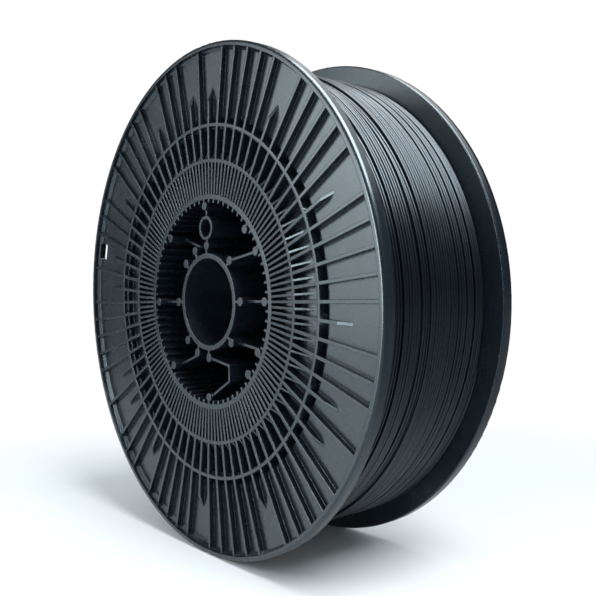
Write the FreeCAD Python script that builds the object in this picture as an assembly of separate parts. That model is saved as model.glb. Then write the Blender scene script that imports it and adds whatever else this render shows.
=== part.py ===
import FreeCAD, Part
import math
import os

# Large filament spool: two identical moulded halves, butted at mid-width, and the
# filament wound between their flanges.
#
# Frame: the spool's axis is Y, its centre is the origin and +Z is up. It stands on its
# two rims. "Depth" is the distance in from a half's outer rim plane, along the axis.
# Angles run from +X towards +Z. The back half is the front half turned over about X.

Vec = FreeCAD.Vector

# ---- overall size ----
OUTER_RADIUS = 150.0
WIDTH = 96.0
HALF_WIDTH = WIDTH / 2

# ---- rim ----
RIM_INNER_RADIUS = 147.0
LIP_OUTER_RADIUS = 148.3
RIM_ROUNDING = OUTER_RADIUS - LIP_OUTER_RADIUS
RIM_THICKNESS = 7.4
RIM_BACK_RADIUS = 149.4
RIM_FOOT = 1.7

# ---- rings of the flange, as centre radius and depth of the top edge ----
DRUM_INNER_RADIUS = 60.9
DRUM_OUTER_RADIUS = 63.8
RING_WALL = 1.9
INNER_RING_RADIUS = 83.2
OUTER_RING_RADIUS = 103.6
DRUM_TOP_DEPTH = 3.4
INNER_RING_TOP_DEPTH = 2.7
OUTER_RING_TOP_DEPTH = 1.9
RIM_TOP_DEPTH = 1.5

# ---- plate between the ribs ----
PLATE_DEPTH_AT_RIM = 4.5
PLATE_DEPTH_OUTER = 5.2
PLATE_DEPTH_MIDDLE = 8.0
PLATE_DEPTH_INNER = 9.2
TRENCH_WIDTH = 3.6
LEDGE_DEPTH = 4.6
LEDGE_WIDTH = 1.3
INNER_FACE_DEPTH_AT_DRUM = 12.0

# ---- ribs ----
RIB_COUNT = 72
RIB_PITCH = 360.0 / RIB_COUNT
RIB_THICKNESS = 1.8
FINE_RIB_THICKNESS = 1.4
GUSSET_THICKNESS = 1.3
GUSSET_LENGTH = 9.5
FIN_FLAT_RADIUS = 117.5
FIN_END_RADIUS = 126.0
FIN_STEPS = (5, 11, 17, 19, 23)
FIN_SECTOR_STEPS = 24

# ---- window that takes the end of the filament ----
WINDOW_STEP = 33
WINDOW_INNER_RADIUS = 137.8
WINDOW_OUTER_RADIUS = 146.2
WINDOW_WIDTH = 12.4
WINDOW_CORNER = 2.0

# ---- drum teeth ----
TOOTH_HEIGHT = 2.2
TOOTH_WIDTH = 1.5

# ---- bore tube ----
BORE_RADIUS = 26.0
BORE_OUTER_RADIUS = 28.9
BORE_TOP_DEPTH = 4.4

# ---- hub posts and webs ----
POST_COUNT = 8
POST_PITCH = 360.0 / POST_COUNT
HUB_POST_RADIUS = 2.5
HUB_POST_CIRCLE = 33.4
DRUM_POST_RADIUS = 2.5
DRUM_POST_CIRCLE = 57.0
EXTRA_HUB_POST_ANGLE = 112.5
EXTRA_DRUM_POST_ANGLE = 29.0
HUB_POST_TOP_DEPTH = 4.4
DRUM_POST_TOP_DEPTH = 3.7
WEB_THICKNESS = 1.4
WEB_TOP_DEPTH = 5.0
SUNK_WEB_TOP_DEPTH = 9.0
DEEP_WEB_TOP_DEPTH = 14.0
JOG_REACH = 20.0
JOG_NEAR_Z = -37.0
JOG_FAR_Z = -46.0

# ---- drive tube ----
DRIVE_CENTRE_RADIUS = 44.0
DRIVE_HOLE_RADIUS = 5.4
DRIVE_TUBE_RADIUS = 7.1
DRIVE_TUBE_TOP_DEPTH = 4.2

# ---- filament ----
WINDING_RADIUS = 139.0
WINDING_RIPPLE = 0.7
WINDING_RIPPLE_COUNT = 7
WINDING_GAP = 0.15

OUTSIDE = 2.0


def at(radius, depth):
    """Point of a lathe outline, in the plane Z = 0."""
    return Vec(radius, depth - HALF_WIDTH, 0)


def polar(radius, degrees, depth=0.0):
    """Point at an angle about the spool's axis."""
    turn = math.radians(degrees)
    return Vec(radius * math.cos(turn), depth - HALF_WIDTH, radius * math.sin(turn))


def blend(low, high, share):
    return low + (high - low) * share


def cone_depth(radius, near_radius, near_depth, far_radius, far_depth):
    share = (radius - near_radius) / (far_radius - near_radius)
    return blend(near_depth, far_depth, share)


def inner_face_depth(radius):
    """Depth of the flange's face on the filament side."""
    return cone_depth(radius, DRUM_OUTER_RADIUS, INNER_FACE_DEPTH_AT_DRUM,
                      RIM_BACK_RADIUS, RIM_THICKNESS)


def lathe_wire(wire):
    return Part.Face(wire).revolve(Vec(0, 0, 0), Vec(0, 1, 0), 360)


def lathe(outline):
    """Solid of revolution about Y from (radius, depth) corners."""
    corners = [at(radius, depth) for radius, depth in outline]
    return lathe_wire(Part.makePolygon(corners + corners[:1]))


def tube(inner, outer, top_depth):
    """Plain tube from a depth to the joint at mid-width."""
    return lathe([(inner, top_depth), (outer, top_depth), (outer, HALF_WIDTH), (inner, HALF_WIDTH)])


def turned(shape, degrees):
    copy = shape.copy()
    copy.rotate(Vec(0, 0, 0), Vec(0, -1, 0), degrees)
    return copy


def repeated(shape, steps, pitch):
    return [turned(shape, step * pitch) for step in steps]


def turned_over(shape):
    copy = shape.copy()
    copy.rotate(Vec(0, 0, 0), Vec(1, 0, 0), 180)
    return copy


# ---- flange ----

def flange_blank():
    """Flange before its pockets are cut: lip, rounded rim and coned inner face."""
    rim_top = at(LIP_OUTER_RADIUS, 0)
    shoulder = RIM_ROUNDING * (1 - math.sqrt(0.5))
    round_side = at(OUTER_RADIUS - shoulder, shoulder)
    rim_side = at(OUTER_RADIUS, RIM_ROUNDING)
    heel_side = at(OUTER_RADIUS, RIM_THICKNESS - 0.6)
    heel = at(RIM_BACK_RADIUS, RIM_THICKNESS)
    drum_back = at(DRUM_OUTER_RADIUS, INNER_FACE_DEPTH_AT_DRUM)
    drum_top = at(DRUM_OUTER_RADIUS, DRUM_TOP_DEPTH)
    inner_ring_top = at(INNER_RING_RADIUS, INNER_RING_TOP_DEPTH)
    outer_ring_top = at(OUTER_RING_RADIUS, OUTER_RING_TOP_DEPTH)
    rib_end_top = at(RIM_INNER_RADIUS, RIM_TOP_DEPTH)
    lip_top = at(RIM_INNER_RADIUS, 0)
    rounding = Part.Arc(rim_top, round_side, rim_side).toShape()
    side = Part.makePolygon([rim_side, heel_side, heel, drum_back, drum_top, inner_ring_top])
    top = Part.makePolygon([inner_ring_top, outer_ring_top, rib_end_top, lip_top, rim_top])
    return lathe_wire(Part.Wire([rounding] + side.Edges + top.Edges))


def cell(inner, outer, pitch, rib):
    """Tall prism over one rib cell, centred on angle 0, with ribs half a pitch away."""
    half = pitch / 2
    inner_edge = half - math.degrees(math.asin(rib / 2 / inner))
    outer_edge = half - math.degrees(math.asin(rib / 2 / outer))
    low_in = polar(inner, -inner_edge, -OUTSIDE)
    low_out = polar(outer, -outer_edge, -OUTSIDE)
    high_out = polar(outer, outer_edge, -OUTSIDE)
    high_in = polar(inner, inner_edge, -OUTSIDE)
    edges = [
        Part.LineSegment(low_in, low_out).toShape(),
        Part.Arc(low_out, polar(outer, 0, -OUTSIDE), high_out).toShape(),
        Part.LineSegment(high_out, high_in).toShape(),
        Part.Arc(high_in, polar(inner, 0, -OUTSIDE), low_in).toShape(),
    ]
    return Part.Face(Part.Wire(edges)).extrude(Vec(0, INNER_FACE_DEPTH_AT_DRUM, 0))


def radial_plate(thickness, outline):
    """Upright plate on angle 0, from (radius, depth) corners."""
    corners = [Vec(radius, depth - HALF_WIDTH, -thickness / 2) for radius, depth in outline]
    face = Part.Face(Part.makePolygon(corners + corners[:1]))
    return face.extrude(Vec(0, 0, thickness))


def outer_zone():
    """Space above the plate between the outer ring and the rim."""
    start = OUTER_RING_RADIUS + RING_WALL / 2
    return lathe([
        (start - OUTSIDE, -OUTSIDE),
        (RIM_INNER_RADIUS + OUTSIDE, -OUTSIDE),
        (RIM_INNER_RADIUS + OUTSIDE, PLATE_DEPTH_AT_RIM - RIM_FOOT),
        (RIM_INNER_RADIUS, PLATE_DEPTH_AT_RIM - RIM_FOOT),
        (RIM_INNER_RADIUS - RIM_FOOT, PLATE_DEPTH_AT_RIM),
        (start + TRENCH_WIDTH, PLATE_DEPTH_OUTER),
        (start + 0.3, PLATE_DEPTH_MIDDLE),
        (start - OUTSIDE, PLATE_DEPTH_MIDDLE),
    ])


def middle_zone():
    """Space between the inner and outer rings, with a ledge inside the outer ring."""
    end = OUTER_RING_RADIUS - RING_WALL / 2
    return lathe([
        (INNER_RING_RADIUS, -OUTSIDE),
        (end + OUTSIDE, -OUTSIDE),
        (end + OUTSIDE, LEDGE_DEPTH),
        (end - LEDGE_WIDTH, LEDGE_DEPTH),
        (end - LEDGE_WIDTH - 0.2, PLATE_DEPTH_MIDDLE),
        (INNER_RING_RADIUS, PLATE_DEPTH_MIDDLE),
    ])


def inner_zone():
    """Space between the drum and the inner ring."""
    return lathe([
        (DRUM_OUTER_RADIUS - OUTSIDE, -OUTSIDE),
        (INNER_RING_RADIUS, -OUTSIDE),
        (INNER_RING_RADIUS, PLATE_DEPTH_INNER),
        (DRUM_OUTER_RADIUS - OUTSIDE, PLATE_DEPTH_INNER),
    ])


def fin():
    """Short rib that stops part way to the rim and slopes down to the plate."""
    start = OUTER_RING_RADIUS
    return radial_plate(RIB_THICKNESS, [
        (start, OUTER_RING_TOP_DEPTH),
        (FIN_FLAT_RADIUS, cone_depth(FIN_FLAT_RADIUS, start, OUTER_RING_TOP_DEPTH,
                                     RIM_INNER_RADIUS, RIM_TOP_DEPTH)),
        (FIN_END_RADIUS, PLATE_DEPTH_OUTER),
        (FIN_END_RADIUS, INNER_FACE_DEPTH_AT_DRUM),
        (start, INNER_FACE_DEPTH_AT_DRUM),
    ])


def gusset():
    """Sloped stiffener outside the inner ring, between two ribs."""
    start = INNER_RING_RADIUS
    return radial_plate(GUSSET_THICKNESS, [
        (start, INNER_RING_TOP_DEPTH),
        (start + RING_WALL / 2, INNER_RING_TOP_DEPTH),
        (start + RING_WALL / 2 + GUSSET_LENGTH, PLATE_DEPTH_MIDDLE),
        (start, PLATE_DEPTH_MIDDLE + 1),
    ])


def fin_steps():
    """Rib positions, in pitches, where a fin stands in place of a full rib."""
    steps = [WINDOW_STEP]
    for sector in range(RIB_COUNT // FIN_SECTOR_STEPS):
        steps += [step + sector * FIN_SECTOR_STEPS for step in FIN_STEPS]
    return steps


def flange_pockets():
    start = OUTER_RING_RADIUS + RING_WALL / 2
    end = OUTER_RING_RADIUS - RING_WALL / 2
    zone = outer_zone()
    plain = cell(start, RIM_INNER_RADIUS, RIB_PITCH, RIB_THICKNESS).common(zone)
    wide = cell(start, RIM_INNER_RADIUS, 2 * RIB_PITCH, RIB_THICKNESS).common(zone).cut(fin())
    fins = fin_steps()
    beside_fin = set(fins) | {step - 1 for step in fins}
    plain_steps = [step + 0.5 for step in range(RIB_COUNT) if step not in beside_fin]
    pockets = repeated(plain, plain_steps, RIB_PITCH) + repeated(wide, fins, RIB_PITCH)

    low = INNER_RING_RADIUS + RING_WALL / 2
    middle = cell(low, end, RIB_PITCH, RIB_THICKNESS).common(middle_zone()).cut(gusset())
    pockets += repeated(middle, [step + 0.5 for step in range(RIB_COUNT)], RIB_PITCH)

    high = INNER_RING_RADIUS - RING_WALL / 2
    fine_pitch = RIB_PITCH / 2
    fine = cell(DRUM_OUTER_RADIUS, high, fine_pitch, FINE_RIB_THICKNESS).common(inner_zone())
    pockets += repeated(fine, [step + 0.5 for step in range(2 * RIB_COUNT)], fine_pitch)
    return pockets


def window():
    """Round-cornered opening through the plate, just inside the rim."""
    block = Part.makeBox(WINDOW_OUTER_RADIUS - WINDOW_INNER_RADIUS, HALF_WIDTH / 2, WINDOW_WIDTH)
    block.translate(Vec(WINDOW_INNER_RADIUS, -HALF_WIDTH - OUTSIDE, -WINDOW_WIDTH / 2))
    upright = [edge for edge in block.Edges if abs(edge.tangentAt(edge.FirstParameter).y) > 0.9]
    return turned(block.makeFillet(WINDOW_CORNER, upright), WINDOW_STEP * RIB_PITCH)


def make_flange():
    return flange_blank().cut(flange_pockets()).cut(window())


# ---- drum ----

def make_drum():
    """Winding drum, with an inward tooth in line with each main rib."""
    outer = Part.Wire(Part.Circle(at(0, DRUM_TOP_DEPTH), Vec(0, 1, 0), DRUM_OUTER_RADIUS).toShape())
    tip = DRUM_INNER_RADIUS - TOOTH_HEIGHT
    root_half = math.degrees(TOOTH_WIDTH / 2 / DRUM_INNER_RADIUS)
    tip_half = math.degrees(TOOTH_WIDTH / 2 / tip) * 0.8
    edges = []
    for step in range(RIB_COUNT):
        angle = step * RIB_PITCH
        corners = [polar(DRUM_INNER_RADIUS, angle - root_half, DRUM_TOP_DEPTH),
                   polar(tip, angle - tip_half, DRUM_TOP_DEPTH),
                   polar(tip, angle + tip_half, DRUM_TOP_DEPTH),
                   polar(DRUM_INNER_RADIUS, angle + root_half, DRUM_TOP_DEPTH)]
        edges += Part.makePolygon(corners).Edges
        between = polar(DRUM_INNER_RADIUS, angle + RIB_PITCH / 2, DRUM_TOP_DEPTH)
        after = polar(DRUM_INNER_RADIUS, angle + RIB_PITCH - root_half, DRUM_TOP_DEPTH)
        edges.append(Part.Arc(corners[3], between, after).toShape())
    face = Part.Face([outer, Part.Wire(edges)])
    return face.extrude(Vec(0, HALF_WIDTH - DRUM_TOP_DEPTH, 0))


# ---- hub ----

def make_bore_tube():
    return tube(BORE_RADIUS, BORE_OUTER_RADIUS, BORE_TOP_DEPTH)


def post(circle, angle, radius, top_depth):
    return Part.makeCylinder(radius, HALF_WIDTH - top_depth, polar(circle, angle, top_depth), Vec(0, 1, 0))


def hub_post(angle):
    return post(HUB_POST_CIRCLE, angle, HUB_POST_RADIUS, HUB_POST_TOP_DEPTH)


def drum_post(angle):
    return post(DRUM_POST_CIRCLE, angle, DRUM_POST_RADIUS, DRUM_POST_TOP_DEPTH)


def web(start, end, top_depth):
    """Flat web between two points of the XZ plane, down to mid-width."""
    length = math.hypot(end[0] - start[0], end[1] - start[1])
    slab = Part.makeBox(length, HALF_WIDTH - top_depth, WEB_THICKNESS)
    slab.translate(Vec(0, top_depth - HALF_WIDTH, -WEB_THICKNESS / 2))
    slab.rotate(Vec(0, 0, 0), Vec(0, -1, 0), math.degrees(math.atan2(end[1] - start[1], end[0] - start[0])))
    slab.translate(Vec(start[0], 0, start[1]))
    return slab


def spot(circle, angle):
    place = polar(circle, angle)
    return (place.x, place.z)


def hub_neck(angle):
    return web(spot(BORE_OUTER_RADIUS - 0.5, angle), spot(HUB_POST_CIRCLE, angle), HUB_POST_TOP_DEPTH)


def drum_neck(angle):
    return web(spot(DRUM_POST_CIRCLE, angle), spot(DRUM_INNER_RADIUS + 0.5, angle), DRUM_POST_TOP_DEPTH)


def post_pair(hub_angle, drum_angle, web_depth):
    """Spoke: a post on the bore tube, a post on the drum and a flat web between them."""
    joining = web(spot(HUB_POST_CIRCLE, hub_angle), spot(DRUM_POST_CIRCLE, drum_angle), web_depth)
    return [hub_post(hub_angle), hub_neck(hub_angle), joining, drum_neck(drum_angle), drum_post(drum_angle)]


def fused(pieces):
    return pieces[0].fuse(pieces[1:])


def make_webs():
    """Level and slanted spokes, and the posts that stand alone."""
    groups = [post_pair(0, 0, SUNK_WEB_TOP_DEPTH), post_pair(180, 180, SUNK_WEB_TOP_DEPTH)]
    for side, near_depth, far_depth in ((1, WEB_TOP_DEPTH, DEEP_WEB_TOP_DEPTH),
                                        (-1, SUNK_WEB_TOP_DEPTH, SUNK_WEB_TOP_DEPTH)):
        groups.append(post_pair(side * POST_PITCH, side * EXTRA_DRUM_POST_ANGLE, near_depth))
        groups.append(post_pair(side * EXTRA_HUB_POST_ANGLE, side * 3 * POST_PITCH, far_depth))
        groups.append([drum_post(side * POST_PITCH), drum_neck(side * POST_PITCH)])
        groups.append([hub_post(side * 3 * POST_PITCH), hub_neck(side * 3 * POST_PITCH)])
    return Part.makeCompound([fused(group) for group in groups])


def make_jogged_web():
    """Bottom spoke, which steps sideways round the other half's drive tube."""
    route = [spot(HUB_POST_CIRCLE, 270), (JOG_REACH, JOG_NEAR_Z), (JOG_REACH, JOG_FAR_Z),
             spot(DRUM_POST_CIRCLE, 270)]
    pieces = [hub_post(270), hub_neck(270), drum_post(270), drum_neck(270)]
    pieces += [web(start, end, WEB_TOP_DEPTH) for start, end in zip(route, route[1:])]
    for corner in route[1:3]:
        base = Vec(corner[0], WEB_TOP_DEPTH - HALF_WIDTH, corner[1])
        pieces.append(Part.makeCylinder(WEB_THICKNESS / 2, HALF_WIDTH - WEB_TOP_DEPTH, base, Vec(0, 1, 0)))
    return fused(pieces)


def drive_cylinder(radius, top_depth):
    foot = Vec(0, top_depth - HALF_WIDTH, DRIVE_CENTRE_RADIUS)
    return Part.makeCylinder(radius, HALF_WIDTH - top_depth, foot, Vec(0, 1, 0))


def make_drive_web():
    """Top spoke, which carries the drive tube."""
    pieces = post_pair(90, 90, WEB_TOP_DEPTH)
    pieces.append(drive_cylinder(DRIVE_TUBE_RADIUS, DRIVE_TUBE_TOP_DEPTH))
    return fused(pieces).cut(drive_cylinder(DRIVE_HOLE_RADIUS, DRIVE_TUBE_TOP_DEPTH - OUTSIDE))


# ---- filament ----

def make_winding():
    """Wound filament, as one ring that fills the space between the flanges."""
    inner = DRUM_OUTER_RADIUS + WINDING_GAP
    base = WINDING_RADIUS - WINDING_RIPPLE
    edge_depth = inner_face_depth(base) + WINDING_GAP
    outline = [(inner, inner_face_depth(inner) + WINDING_GAP), (base, edge_depth)]
    half_turns = 2 * WINDING_RIPPLE_COUNT
    for step in range(1, half_turns):
        depth = blend(edge_depth, WIDTH - edge_depth, step / half_turns)
        outline.append((base + (2 * WINDING_RIPPLE if step % 2 else 0), depth))
    outline.append((base, WIDTH - edge_depth))
    outline.append((inner, WIDTH - inner_face_depth(inner) - WINDING_GAP))
    return lathe(outline)


def main():
    drum = make_drum()
    bore_tube = make_bore_tube()
    half = {"flange": make_flange(), "drum": drum, "bore_tube": bore_tube}
    for name, spokes in (("webs", make_webs()), ("jogged_web", make_jogged_web()),
                         ("drive_web", make_drive_web())):
        half[name] = spokes.cut([drum, bore_tube]).removeSplitter()
    os.makedirs("parts", exist_ok=True)
    for name, shape in half.items():
        shape.exportStep("parts/front_" + name + ".step")
        turned_over(shape).exportStep("parts/back_" + name + ".step")
    make_winding().exportStep("parts/filament_winding.step")


main()
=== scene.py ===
import math
import random

import bpy
from mathutils import Matrix, Vector


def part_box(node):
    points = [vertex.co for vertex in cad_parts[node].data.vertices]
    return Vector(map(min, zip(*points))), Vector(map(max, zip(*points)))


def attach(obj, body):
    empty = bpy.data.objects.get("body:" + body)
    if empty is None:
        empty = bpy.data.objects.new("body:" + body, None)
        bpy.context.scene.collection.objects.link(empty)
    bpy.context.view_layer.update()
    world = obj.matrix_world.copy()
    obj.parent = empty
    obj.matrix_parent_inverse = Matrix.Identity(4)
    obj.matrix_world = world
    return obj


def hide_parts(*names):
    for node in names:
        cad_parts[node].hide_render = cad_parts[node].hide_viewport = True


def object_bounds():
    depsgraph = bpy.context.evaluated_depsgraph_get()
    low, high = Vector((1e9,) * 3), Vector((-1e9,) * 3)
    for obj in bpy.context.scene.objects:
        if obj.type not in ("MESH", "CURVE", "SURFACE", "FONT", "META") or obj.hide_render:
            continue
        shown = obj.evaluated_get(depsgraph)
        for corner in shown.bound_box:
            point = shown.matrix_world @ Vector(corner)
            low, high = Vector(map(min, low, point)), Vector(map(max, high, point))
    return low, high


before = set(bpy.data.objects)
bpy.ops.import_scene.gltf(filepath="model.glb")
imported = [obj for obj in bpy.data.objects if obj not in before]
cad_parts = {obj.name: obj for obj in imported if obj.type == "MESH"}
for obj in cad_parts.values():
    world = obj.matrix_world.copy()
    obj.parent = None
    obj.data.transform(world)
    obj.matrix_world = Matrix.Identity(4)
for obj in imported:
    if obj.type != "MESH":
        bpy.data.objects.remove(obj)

# A large filament spool on a pale floor. The CAD nodes carry the moulded plastic; the
# wound filament is rebuilt here as turns of real strand. Metres, axis along Y.

CAD_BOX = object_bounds()
ROOT = "root"

WINDING_HIGH = Vector(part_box("filament_winding")[1])
WINDING_RADIUS = WINDING_HIGH.x
WINDING_HALF = WINDING_HIGH.y

# ---- studio ----
LIGHT_COLOUR = (0.96, 0.99, 1.0)
GLOSS_TINT = (0.76, 0.93, 1.0, 1.0)
FILAMENT_TINT = (0.71, 0.87, 1.0, 1.0)
WORLD_FILL = 0.75
WORLD_GLOSS = 0.02
FLOOR_NEAR = 0.30
FLOOR_FAR = 0.50
# Painted shade on the floor in reflections: to glossy rays, the floor beyond these reaches and towards the
# +X, +Y side is swapped for a dim glow.
SHADE_PAINT_SIDE = (0.77, 0.64, 0.0)
FLOOR_HALF = 6.0
SHADE_PAINT_FROM = 0.7
SHADE_PAINT_TO = 1.3
SHADE_PAINT_REACH = 0.30
SHADE_PAINT_SHARE = 0.8
SHADE_PAINT_GLOW = 0.1
FLOOR_TONES = [(0.3, (0.86, 0.88, 0.90)), (0.7, (0.89, 0.905, 0.92))]

# Each lamp as its name, direction from the spool, distance, width, height and brightness.
SOFTBOXES = [
    ("high_right_softbox", (0.52, -0.08, 0.80), 1.6, 0.6, 0.95, 16.0),
    ("front_left_fill", (-0.50, -0.82, 0.40), 1.6, 0.9, 0.9, 4.0),
]
REFLECTORS = [
    ("face_reflector", (-0.545, -0.83, 0.115), 1.6, 1.0, 0.78, 5.0),
    ("winding_reflector", (0.34, 0.02, 0.94), 1.6, 1.2, 1.9, 18.0),
    ("rear_reflector", (0.0, 0.62, 0.78), 1.8, 2.2, 1.0, 1.8),
    ("front_reflector", (0.0, -1.0, 0.17), 1.7, 0.55, 1.0, 26.0),
]

# ---- camera ----
CAMERA_AT = Vector((0.3874, -0.2927, 0.0068))
CAMERA_LENS = 46.36
CAMERA_HEADING = -50.52
CAMERA_TILT = -0.72
CAMERA_ROLL = -1.306

# ---- plastic ----
SPOOL_HALF_WIDTH = CAD_BOX[1][1]
RIM_RADIUS = CAD_BOX[1][0]
LIP_ROUNDING = 0.0017
SIDE_CROWN = 0.0036
RIM_SIDE_WIDTH = 0.0066
EDGE_ROUNDING = 0.0005
WEAR_REACH = 0.0009
SCUFF_COLOUR = (0.030, 0.036, 0.042)
RIM_START = 0.00002
SPOOL_TONES = [(0.3, (0.0050, 0.0080, 0.0120)), (0.7, (0.0075, 0.0112, 0.0162))]
FILAMENT_TONES = [(0.3, (0.0026, 0.0035, 0.0054)), (0.7, (0.0044, 0.0056, 0.0080))]

# ---- strand and layers ----
STRAND_DIAMETER = 0.00175
STRAND_RADIUS = STRAND_DIAMETER / 2
LAYER_DROP = 0.00150
TURN_STEPS = 192
OUTER_SIDES = 8
HIDDEN_SIDES = 6
CROSSING_AT = 0.52
CROSSING_WIDTH = 0.16
END_DIVE = 0.06
DIVE_DEPTH = 0.0045
TURN_PITCH = 1.02        # in strand diameters
SWELL = 0.10 * STRAND_DIAMETER
RIPPLE = 0.05 * STRAND_DIAMETER
SLOW_WANDER = 0.0016
QUICK_WANDER = 0.0007
CORE_INNER_RADIUS = 0.0640
CORE_SIDE_GAP = 0.0006
CORE_TAPER = 0.0035
CORE_SCALLOP = 0.0006
CORE_SIDE_SCALLOP = 0.0004

# Bundles of touching turns, from the front flange to the back one, as the width in turns,
# the gap after the bundle in strand diameters, and how far the bundle sits below the
# highest one, in strand diameters.
BUNDLES = [
    (2, 0.2, 0.3), (2, 0.5, 0.2), (1, 0.15, 0.1), (2, 1.3, 0.3), (2, 0.2, 0.15), (3, 0.1, 0.25),
    (1, 1.5, 0.4), (1, 1.3, 0.9), (5, 0.15, 0.0), (4, 0.3, 0.1), (2, 0.35, 0.3), (1, 0.25, 0.1),
    (2, 0.4, 0.25), (3, 0.75, 0.15), (3, 0.35, 0.1), (1, 0.0, 0.3),
]


def smooth(share):
    share = min(1.0, max(0.0, share))
    return share * share * (3 - 2 * share)


# ---- node helpers ----

def new_material(name):
    material = bpy.data.materials.new(name)
    material.use_nodes = True
    nodes = material.node_tree.nodes
    return material, nodes, material.node_tree.links, nodes["Principled BSDF"]


def noise(nodes, links, vector, scale, detail=4.0, roughness=0.55):
    node = nodes.new("ShaderNodeTexNoise")
    node.inputs["Scale"].default_value = scale
    node.inputs["Detail"].default_value = detail
    node.inputs["Roughness"].default_value = roughness
    links.new(vector, node.inputs["Vector"])
    return node.outputs["Fac"]


def ramp(nodes, links, value, stops):
    node = nodes.new("ShaderNodeValToRGB")
    elements = node.color_ramp.elements
    while len(elements) < len(stops):
        elements.new(0.5)
    for element, (place, colour) in zip(elements, stops):
        element.position = place
        element.color = (*colour, 1.0)
    links.new(value, node.inputs["Fac"])
    return node.outputs["Color"]


def remap(nodes, links, value, low, high):
    node = nodes.new("ShaderNodeMapRange")
    node.inputs["To Min"].default_value = low
    node.inputs["To Max"].default_value = high
    links.new(value, node.inputs["Value"])
    return node.outputs["Result"]


def bump(nodes, links, height, strength, distance, normal=None):
    node = nodes.new("ShaderNodeBump")
    node.inputs["Strength"].default_value = strength
    node.inputs["Distance"].default_value = distance
    links.new(height, node.inputs["Height"])
    if normal is not None:
        links.new(normal, node.inputs["Normal"])
    return node.outputs["Normal"]


def fade(nodes, links, value, start, end):
    node = nodes.new("ShaderNodeMapRange")
    node.interpolation_type = "SMOOTHSTEP"
    node.inputs["From Min"].default_value = start
    node.inputs["From Max"].default_value = end
    links.new(value, node.inputs["Value"])
    return node.outputs["Result"]


def math_node(nodes, links, operation, first, second):
    node = nodes.new("ShaderNodeMath")
    node.operation = operation
    links.new(first, node.inputs[0])
    if isinstance(second, float):
        node.inputs[1].default_value = second
    else:
        links.new(second, node.inputs[1])
    return node.outputs["Value"]


def mixed(nodes, links, share, under, over):
    node = nodes.new("ShaderNodeMixRGB")
    node.inputs["Color2"].default_value = (*over, 1.0)
    links.new(share, node.inputs["Fac"])
    links.new(under, node.inputs["Color1"])
    return node.outputs["Color"]


def rounded_edges(nodes, radius, samples):
    node = nodes.new("ShaderNodeBevel")
    node.samples = samples
    node.inputs["Radius"].default_value = radius
    return node.outputs["Normal"]


def vector_math(nodes, links, operation, first, second=None):
    node = nodes.new("ShaderNodeVectorMath")
    node.operation = operation
    links.new(first, node.inputs[0])
    if isinstance(second, tuple):
        node.inputs[1].default_value = second
    elif second is not None:
        links.new(second, node.inputs[1])
    return node.outputs["Value" if operation in ("LENGTH", "DOT_PRODUCT") else "Vector"]


def rim_normal(nodes, links, place, plain):
    """Smooth normal for the turned rim: radial on its side, turning to the axis at its lip."""
    across = vector_math(nodes, links, "MULTIPLY", place, (1.0, 0.0, 1.0))
    reach = vector_math(nodes, links, "LENGTH", across)
    outward = vector_math(nodes, links, "NORMALIZE", across)
    split = nodes.new("ShaderNodeSeparateXYZ")
    links.new(place, split.inputs["Vector"])
    side = math_node(nodes, links, "SIGN", split.outputs["Y"], 0.0)
    height = math_node(nodes, links, "ABSOLUTE", split.outputs["Y"], 0.0)
    spread = math_node(nodes, links, "SUBTRACT", reach, RIM_RADIUS - LIP_ROUNDING)
    rise = math_node(nodes, links, "SUBTRACT", height, SPOOL_HALF_WIDTH - SIDE_CROWN)
    rise = math_node(nodes, links, "MAXIMUM", rise, 0.0)
    rise = math_node(nodes, links, "MULTIPLY", rise, LIP_ROUNDING / SIDE_CROWN)
    lift = nodes.new("ShaderNodeCombineXYZ")
    links.new(math_node(nodes, links, "MULTIPLY", rise, side), lift.inputs["Y"])
    scaled = nodes.new("ShaderNodeVectorMath")
    scaled.operation = "SCALE"
    links.new(outward, scaled.inputs[0])
    links.new(spread, scaled.inputs["Scale"])
    round_normal = vector_math(nodes, links, "ADD", scaled.outputs["Vector"], lift.outputs["Vector"])
    round_normal = vector_math(nodes, links, "NORMALIZE", round_normal)
    on_rim = math_node(nodes, links, "GREATER_THAN", spread, RIM_START)
    on_side = math_node(nodes, links, "GREATER_THAN", height, SPOOL_HALF_WIDTH - RIM_SIDE_WIDTH)
    share = math_node(nodes, links, "MULTIPLY", on_rim, on_side)
    mix = nodes.new("ShaderNodeMixRGB")
    links.new(share, mix.inputs["Fac"])
    links.new(plain, mix.inputs["Color1"])
    links.new(round_normal, mix.inputs["Color2"])
    return mix.outputs["Color"]


def edge_wear(nodes, links, place):
    """Share of scuffing: only on outer and inner edges, broken up by a fine noise."""
    geometry = nodes.new("ShaderNodeNewGeometry")
    rounded = rounded_edges(nodes, WEAR_REACH, 4)
    turned = vector_math(nodes, links, "DOT_PRODUCT", rounded, geometry.outputs["Normal"])
    edge = fade(nodes, links, turned, 0.985, 0.80)
    scuffs = fade(nodes, links, noise(nodes, links, place, 260.0, 6.0), 0.44, 0.66)
    return math_node(nodes, links, "MULTIPLY", edge, scuffs)


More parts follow.
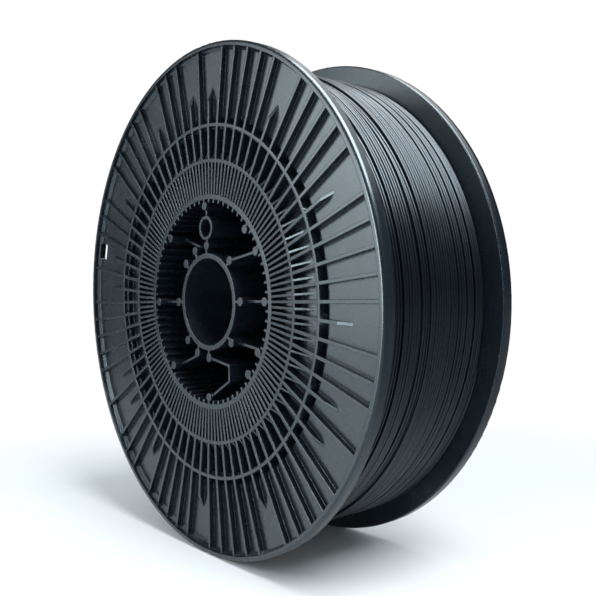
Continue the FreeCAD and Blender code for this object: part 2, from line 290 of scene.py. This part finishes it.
def spool_plastic():
    """Charcoal moulded plastic: fine grain, faint flow marks, softened and scuffed edges."""
    material, nodes, links, shader = new_material("spool_plastic")
    place = nodes.new("ShaderNodeTexCoord").outputs["Object"]
    wear = edge_wear(nodes, links, place)
    tone = noise(nodes, links, place, 18.0, 5.0)
    colour = ramp(nodes, links, tone, SPOOL_TONES)
    links.new(mixed(nodes, links, wear, colour, SCUFF_COLOUR), shader.inputs["Base Color"])
    mottle = remap(nodes, links, noise(nodes, links, place, 60.0, 6.0), 0.22, 0.32)
    dulled = math_node(nodes, links, "MULTIPLY", wear, 0.16)
    links.new(math_node(nodes, links, "ADD", mottle, dulled), shader.inputs["Roughness"])
    flow_height = noise(nodes, links, place, 35.0, 3.0)
    surface = rim_normal(nodes, links, place, rounded_edges(nodes, EDGE_ROUNDING, 6))
    flow = bump(nodes, links, flow_height, 0.12, 0.0006, surface)
    grain = bump(nodes, links, noise(nodes, links, place, 2600.0, 2.0), 0.10, 0.00003, flow)
    links.new(grain, shader.inputs["Normal"])
    shader.inputs["IOR"].default_value = 1.5
    shader.inputs["Specular Tint"].default_value = GLOSS_TINT
    return material


def filament_plastic():
    """Black extruded filament: smooth, with a faint fine ripple and slow changes of gloss."""
    material, nodes, links, shader = new_material("filament_plastic")
    place = nodes.new("ShaderNodeTexCoord").outputs["Object"]
    tone = noise(nodes, links, place, 40.0, 4.0)
    colour = ramp(nodes, links, tone, FILAMENT_TONES)
    links.new(colour, shader.inputs["Base Color"])
    gloss = noise(nodes, links, place, 25.0, 4.0)
    links.new(remap(nodes, links, gloss, 0.24, 0.36), shader.inputs["Roughness"])
    wobble = bump(nodes, links, noise(nodes, links, place, 120.0, 2.0), 0.05, 0.0002)
    links.new(wobble, shader.inputs["Normal"])
    shader.inputs["IOR"].default_value = 1.44
    shader.inputs["Specular Tint"].default_value = FILAMENT_TINT
    return material


def overlay(nodes, links, under, strength, share):
    """Mixes plain white light of that strength over a shader, by share."""
    glow = nodes.new("ShaderNodeEmission")
    glow.inputs["Strength"].default_value = strength
    mix = nodes.new("ShaderNodeMixShader")
    links.new(share, mix.inputs["Fac"])
    links.new(under, mix.inputs[1])
    links.new(glow.outputs["Emission"], mix.inputs[2])
    return mix.outputs["Shader"]


def floor_paint():
    """White studio floor. Far from the spool it is plain white to the camera. In the spool's reflections it
    carries painted shade:
    away from the spool and towards the +X, +Y side it is swapped for a dim glow, standing in for floor
    outside the lit area."""
    material, nodes, links, shader = new_material("studio_floor")
    place = nodes.new("ShaderNodeTexCoord").outputs["Object"]
    tone = noise(nodes, links, place, 3.0, 3.0)
    colour = ramp(nodes, links, tone, FLOOR_TONES)
    links.new(colour, shader.inputs["Base Color"])
    links.new(remap(nodes, links, tone, 0.30, 0.36), shader.inputs["Roughness"])
    reach = vector_math(nodes, links, "LENGTH", place)
    behind = vector_math(nodes, links, "DOT_PRODUCT", place, SHADE_PAINT_SIDE)
    rays = nodes.new("ShaderNodeLightPath")
    far = fade(nodes, links, reach, FLOOR_NEAR, FLOOR_FAR)
    seen = math_node(nodes, links, "MULTIPLY", rays.outputs["Is Camera Ray"], far)
    # Painted shade: where glossy rays meet the floor away from the spool or on its +X, +Y side, a dim glow
    # replaces the floor.
    outside = fade(nodes, links, reach, SHADE_PAINT_FROM, SHADE_PAINT_TO)
    aside = fade(nodes, links, behind, 0.0, SHADE_PAINT_REACH)
    painted_shade_area = math_node(nodes, links, "MAXIMUM", outside, aside)
    reflected_painted_shade = math_node(nodes, links, "MULTIPLY", rays.outputs["Is Glossy Ray"], painted_shade_area)
    reflected_painted_shade = math_node(nodes, links, "MULTIPLY", reflected_painted_shade, SHADE_PAINT_SHARE)
    surface = overlay(nodes, links, shader.outputs["BSDF"], 1.0, seen)
    surface = overlay(nodes, links, surface, SHADE_PAINT_GLOW, reflected_painted_shade)
    links.new(surface, nodes["Material Output"].inputs["Surface"])
    return material


# ---- winding ----

def lanes_of(shrink):
    """Axial places and drops of the turns of one layer; deeper layers close the gaps."""
    lanes = []
    place = 0.0
    for turns, gap, drop in BUNDLES:
        for _ in range(turns):
            lanes.append([place, drop * shrink])
            place += TURN_PITCH
        place += gap * shrink
    width = lanes[-1][0]
    reach = 2 * (WINDING_HALF - STRAND_RADIUS * 1.3)
    spare = reach / STRAND_DIAMETER - width
    extra = max(0, int(spare // 1.03))
    for _ in range(extra):
        lanes.append([lanes[-1][0] + TURN_PITCH, 0.1])
    scale = reach / lanes[-1][0]
    return [(lane[0] * scale - reach / 2, lane[1] * STRAND_DIAMETER) for lane in lanes]


def drift(angle, place):
    """Slow axial wander of the turns, the same for neighbours so that they stay apart."""
    edge = 1 - (place / WINDING_HALF) ** 4
    wander = SLOW_WANDER * math.sin(angle + 0.6 + place * 25)
    wander += QUICK_WANDER * math.sin(2 * angle + 1.9 - place * 40)
    return wander * edge


def layer_path(lanes, depth, seed, backwards):
    """Centre line of one layer: a helix that steps from lane to lane in a crossing zone."""
    draw = random.Random(seed)
    turns = len(lanes) - 1
    swell = [draw.uniform(-SWELL, SWELL) for _ in range(turns + 2)]
    phases = [draw.uniform(0, math.tau) for _ in range(turns + 2)]
    path = []
    for step in range(turns * TURN_STEPS + 1):
        turn, inside = divmod(step, TURN_STEPS)
        turn = min(turn, turns - 1)
        share = inside / TURN_STEPS if step < turns * TURN_STEPS else 1.0
        move = smooth((share - CROSSING_AT) / CROSSING_WIDTH + 0.5)
        here, after = lanes[turn], lanes[turn + 1]
        place = here[0] + (after[0] - here[0]) * move
        drop = here[1] + (after[1] - here[1]) * move
        loose = swell[turn] + (swell[turn + 1] - swell[turn]) * share
        angle = math.tau * share
        phase = phases[turn] * (1 - share) + phases[turn + 1] * share
        ripple = RIPPLE * math.sin(3 * angle + phase)
        radius = depth - drop + loose + ripple
        ends = min(step, turns * TURN_STEPS - step) / TURN_STEPS
        radius -= DIVE_DEPTH * (1 - smooth(ends / END_DIVE))
        place += drift(angle, place)
        sense = -1 if backwards else 1
        path.append(Vector((radius * math.cos(sense * angle), place, radius * math.sin(sense * angle))))
    return path


def strand_mesh(name, path, sides):
    """Round strand swept along a path that always runs round the axis."""
    verts = []
    faces = []
    for index, point in enumerate(path):
        ahead = path[min(index + 1, len(path) - 1)]
        behind = path[max(index - 1, 0)]
        along = (ahead - behind).normalized()
        outward = Vector((point.x, 0, point.z)).normalized()
        sideways = along.cross(outward).normalized()
        upward = sideways.cross(along)
        for side in range(sides):
            turn = math.tau * side / sides
            verts.append(point + STRAND_RADIUS * (math.cos(turn) * upward + math.sin(turn) * sideways))
        if index:
            base = (index - 1) * sides
            for side in range(sides):
                after = (side + 1) % sides
                faces.append((base + side, base + after, base + sides + after, base + sides + side))
    faces.append(tuple(range(sides)))
    faces.append(tuple(reversed(range(len(verts) - sides, len(verts)))))
    return add_mesh(name, verts, faces)


def add_mesh(name, verts, faces):
    mesh = bpy.data.meshes.new(name)
    mesh.from_pydata([tuple(v) for v in verts], [], faces)
    mesh.validate()
    mesh.update()
    mesh.polygons.foreach_set("use_smooth", [True] * len(mesh.polygons))
    piece = bpy.data.objects.new(name, mesh)
    bpy.context.collection.objects.link(piece)
    return piece


def core_mesh(radius):
    """Inner layers: a ring whose outside and sides are scalloped like stacked turns."""
    inner = CORE_INNER_RADIUS
    half_out = WINDING_HALF - CORE_SIDE_GAP
    half_in = half_out - CORE_TAPER
    outline = []
    turns = int(2 * half_out / STRAND_DIAMETER)
    side_turns = int((radius - inner) / STRAND_DIAMETER)
    for step in range(2 * turns + 1):
        share = step / (2 * turns)
        dip = CORE_SCALLOP if step % 2 == 0 else 0
        outline.append((radius - dip, -half_out + 2 * half_out * share))
    for step in range(1, 2 * side_turns + 1):
        share = step / (2 * side_turns)
        dip = CORE_SIDE_SCALLOP if step % 2 else 0
        side = half_out + (half_in - half_out) * share - dip
        outline.append((radius + (inner - radius) * share, side))
    for step in range(0, 2 * side_turns):
        share = step / (2 * side_turns)
        dip = CORE_SIDE_SCALLOP if step % 2 else 0
        side = -half_in + (half_in - half_out) * share + dip
        outline.append((inner + (radius - inner) * share, side))
    verts = []
    faces = []
    count = len(outline)
    for step in range(TURN_STEPS):
        angle = math.tau * step / TURN_STEPS
        for reach, place in outline:
            verts.append((reach * math.cos(angle), place, reach * math.sin(angle)))
        base = step * count
        after = ((step + 1) % TURN_STEPS) * count
        for index in range(count):
            following = (index + 1) % count
            faces.append((base + index, base + following, after + following, after + index))
    return add_mesh("winding_core", verts, faces)


def build_winding(material):
    top = WINDING_RADIUS - STRAND_RADIUS - 0.0002
    pieces = [core_mesh(top - 3 * LAYER_DROP + 0.0004)]
    layers = [
        ("winding_outer_layer", 1.0, 0.0, OUTER_SIDES),
        ("winding_second_layer", 0.75, LAYER_DROP, HIDDEN_SIDES),
        ("winding_third_layer", 0.4, 2 * LAYER_DROP, HIDDEN_SIDES),
    ]
    for seed, (name, shrink, drop, sides) in enumerate(layers):
        path = layer_path(lanes_of(shrink), top - drop, seed + 3, seed % 2 == 1)
        pieces.append(strand_mesh(name, path, sides))
    for piece in pieces:
        piece.data.materials.append(material)
        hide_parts("filament_winding")
        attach(piece, ROOT)


# ---- studio ----

def add_floor():
    level = CAD_BOX[0][2]
    signs = [(-1, -1), (1, -1), (1, 1), (-1, 1)]
    corners = [(x * FLOOR_HALF, y * FLOOR_HALF, level) for x, y in signs]
    floor = add_mesh("studio_floor", corners, [(0, 1, 2, 3)])
    floor.data.materials.append(floor_paint())


def look_matrix(place, target, roll=0.0):
    """Placement that looks from place to target, with +Z up."""
    back = (Vector(place) - Vector(target)).normalized()
    right = Vector((0, 0, 1)).cross(back).normalized()
    up = back.cross(right)
    turn = Matrix((right, up, back)).transposed().to_4x4()
    return Matrix.Translation(place) @ turn @ Matrix.Rotation(roll, 4, "Z")


def add_light(name, direction, distance, width, height, radiance):
    """Softbox that faces the spool from a direction; its power follows from its brightness."""
    light = bpy.data.lights.new(name, "AREA")
    light.shape = "RECTANGLE"
    light.size = width
    light.size_y = height
    light.energy = radiance * math.pi * width * height
    light.color = LIGHT_COLOUR
    lamp = bpy.data.objects.new(name, light)
    lamp.matrix_world = look_matrix(Vector(direction).normalized() * distance, (0, 0, 0))
    bpy.context.collection.objects.link(lamp)
    return lamp


def add_lights():
    for softbox in SOFTBOXES:
        add_light(*softbox)
    for reflector in REFLECTORS:
        glossy_only(add_light(*reflector))


def glossy_only(lamp):
    """The lamp shows in reflections and lights nothing else."""
    lamp.visible_diffuse = False


def add_world():
    world = bpy.data.worlds.new("studio")
    world.use_nodes = True
    nodes, links = world.node_tree.nodes, world.node_tree.links
    background = nodes["Background"]
    background.inputs["Color"].default_value = (0.86, 0.95, 1.0, 1.0)
    rays = nodes.new("ShaderNodeLightPath")
    strength = nodes.new("ShaderNodeMapRange")
    strength.inputs["To Min"].default_value = WORLD_GLOSS
    strength.inputs["To Max"].default_value = WORLD_FILL
    links.new(rays.outputs["Is Diffuse Ray"], strength.inputs["Value"])
    links.new(strength.outputs["Result"], background.inputs["Strength"])
    seen = nodes.new("ShaderNodeBackground")
    seen.inputs["Color"].default_value = (1.0, 1.0, 1.0, 1.0)
    seen.inputs["Strength"].default_value = 1.0
    mix = nodes.new("ShaderNodeMixShader")
    links.new(rays.outputs["Is Camera Ray"], mix.inputs["Fac"])
    links.new(background.outputs["Background"], mix.inputs[1])
    links.new(seen.outputs["Background"], mix.inputs[2])
    links.new(mix.outputs["Shader"], nodes["World Output"].inputs["Surface"])
    bpy.context.scene.world = world


def add_camera():
    camera = bpy.data.cameras.new("camera")
    camera.lens = CAMERA_LENS
    camera.sensor_width = 36.0
    camera.clip_start = 0.01
    eye = bpy.data.objects.new("camera", camera)
    heading = math.radians(CAMERA_HEADING)
    tilt = math.radians(CAMERA_TILT)
    ahead = Vector((math.sin(heading) * math.cos(tilt), math.cos(heading) * math.cos(tilt), math.sin(tilt)))
    eye.matrix_world = look_matrix(CAMERA_AT, CAMERA_AT + ahead, math.radians(CAMERA_ROLL))
    bpy.context.collection.objects.link(eye)
    bpy.context.scene.camera = eye


def dress_cad_nodes(plastic):
    for name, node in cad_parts.items():
        if name == "filament_winding":
            continue
        node.data.materials.clear()
        node.data.materials.append(plastic)


def main():
    dress_cad_nodes(spool_plastic())
    build_winding(filament_plastic())
    add_floor()
    add_lights()
    add_world()
    add_camera()
    bpy.context.scene.view_settings.view_transform = "Standard"


main()
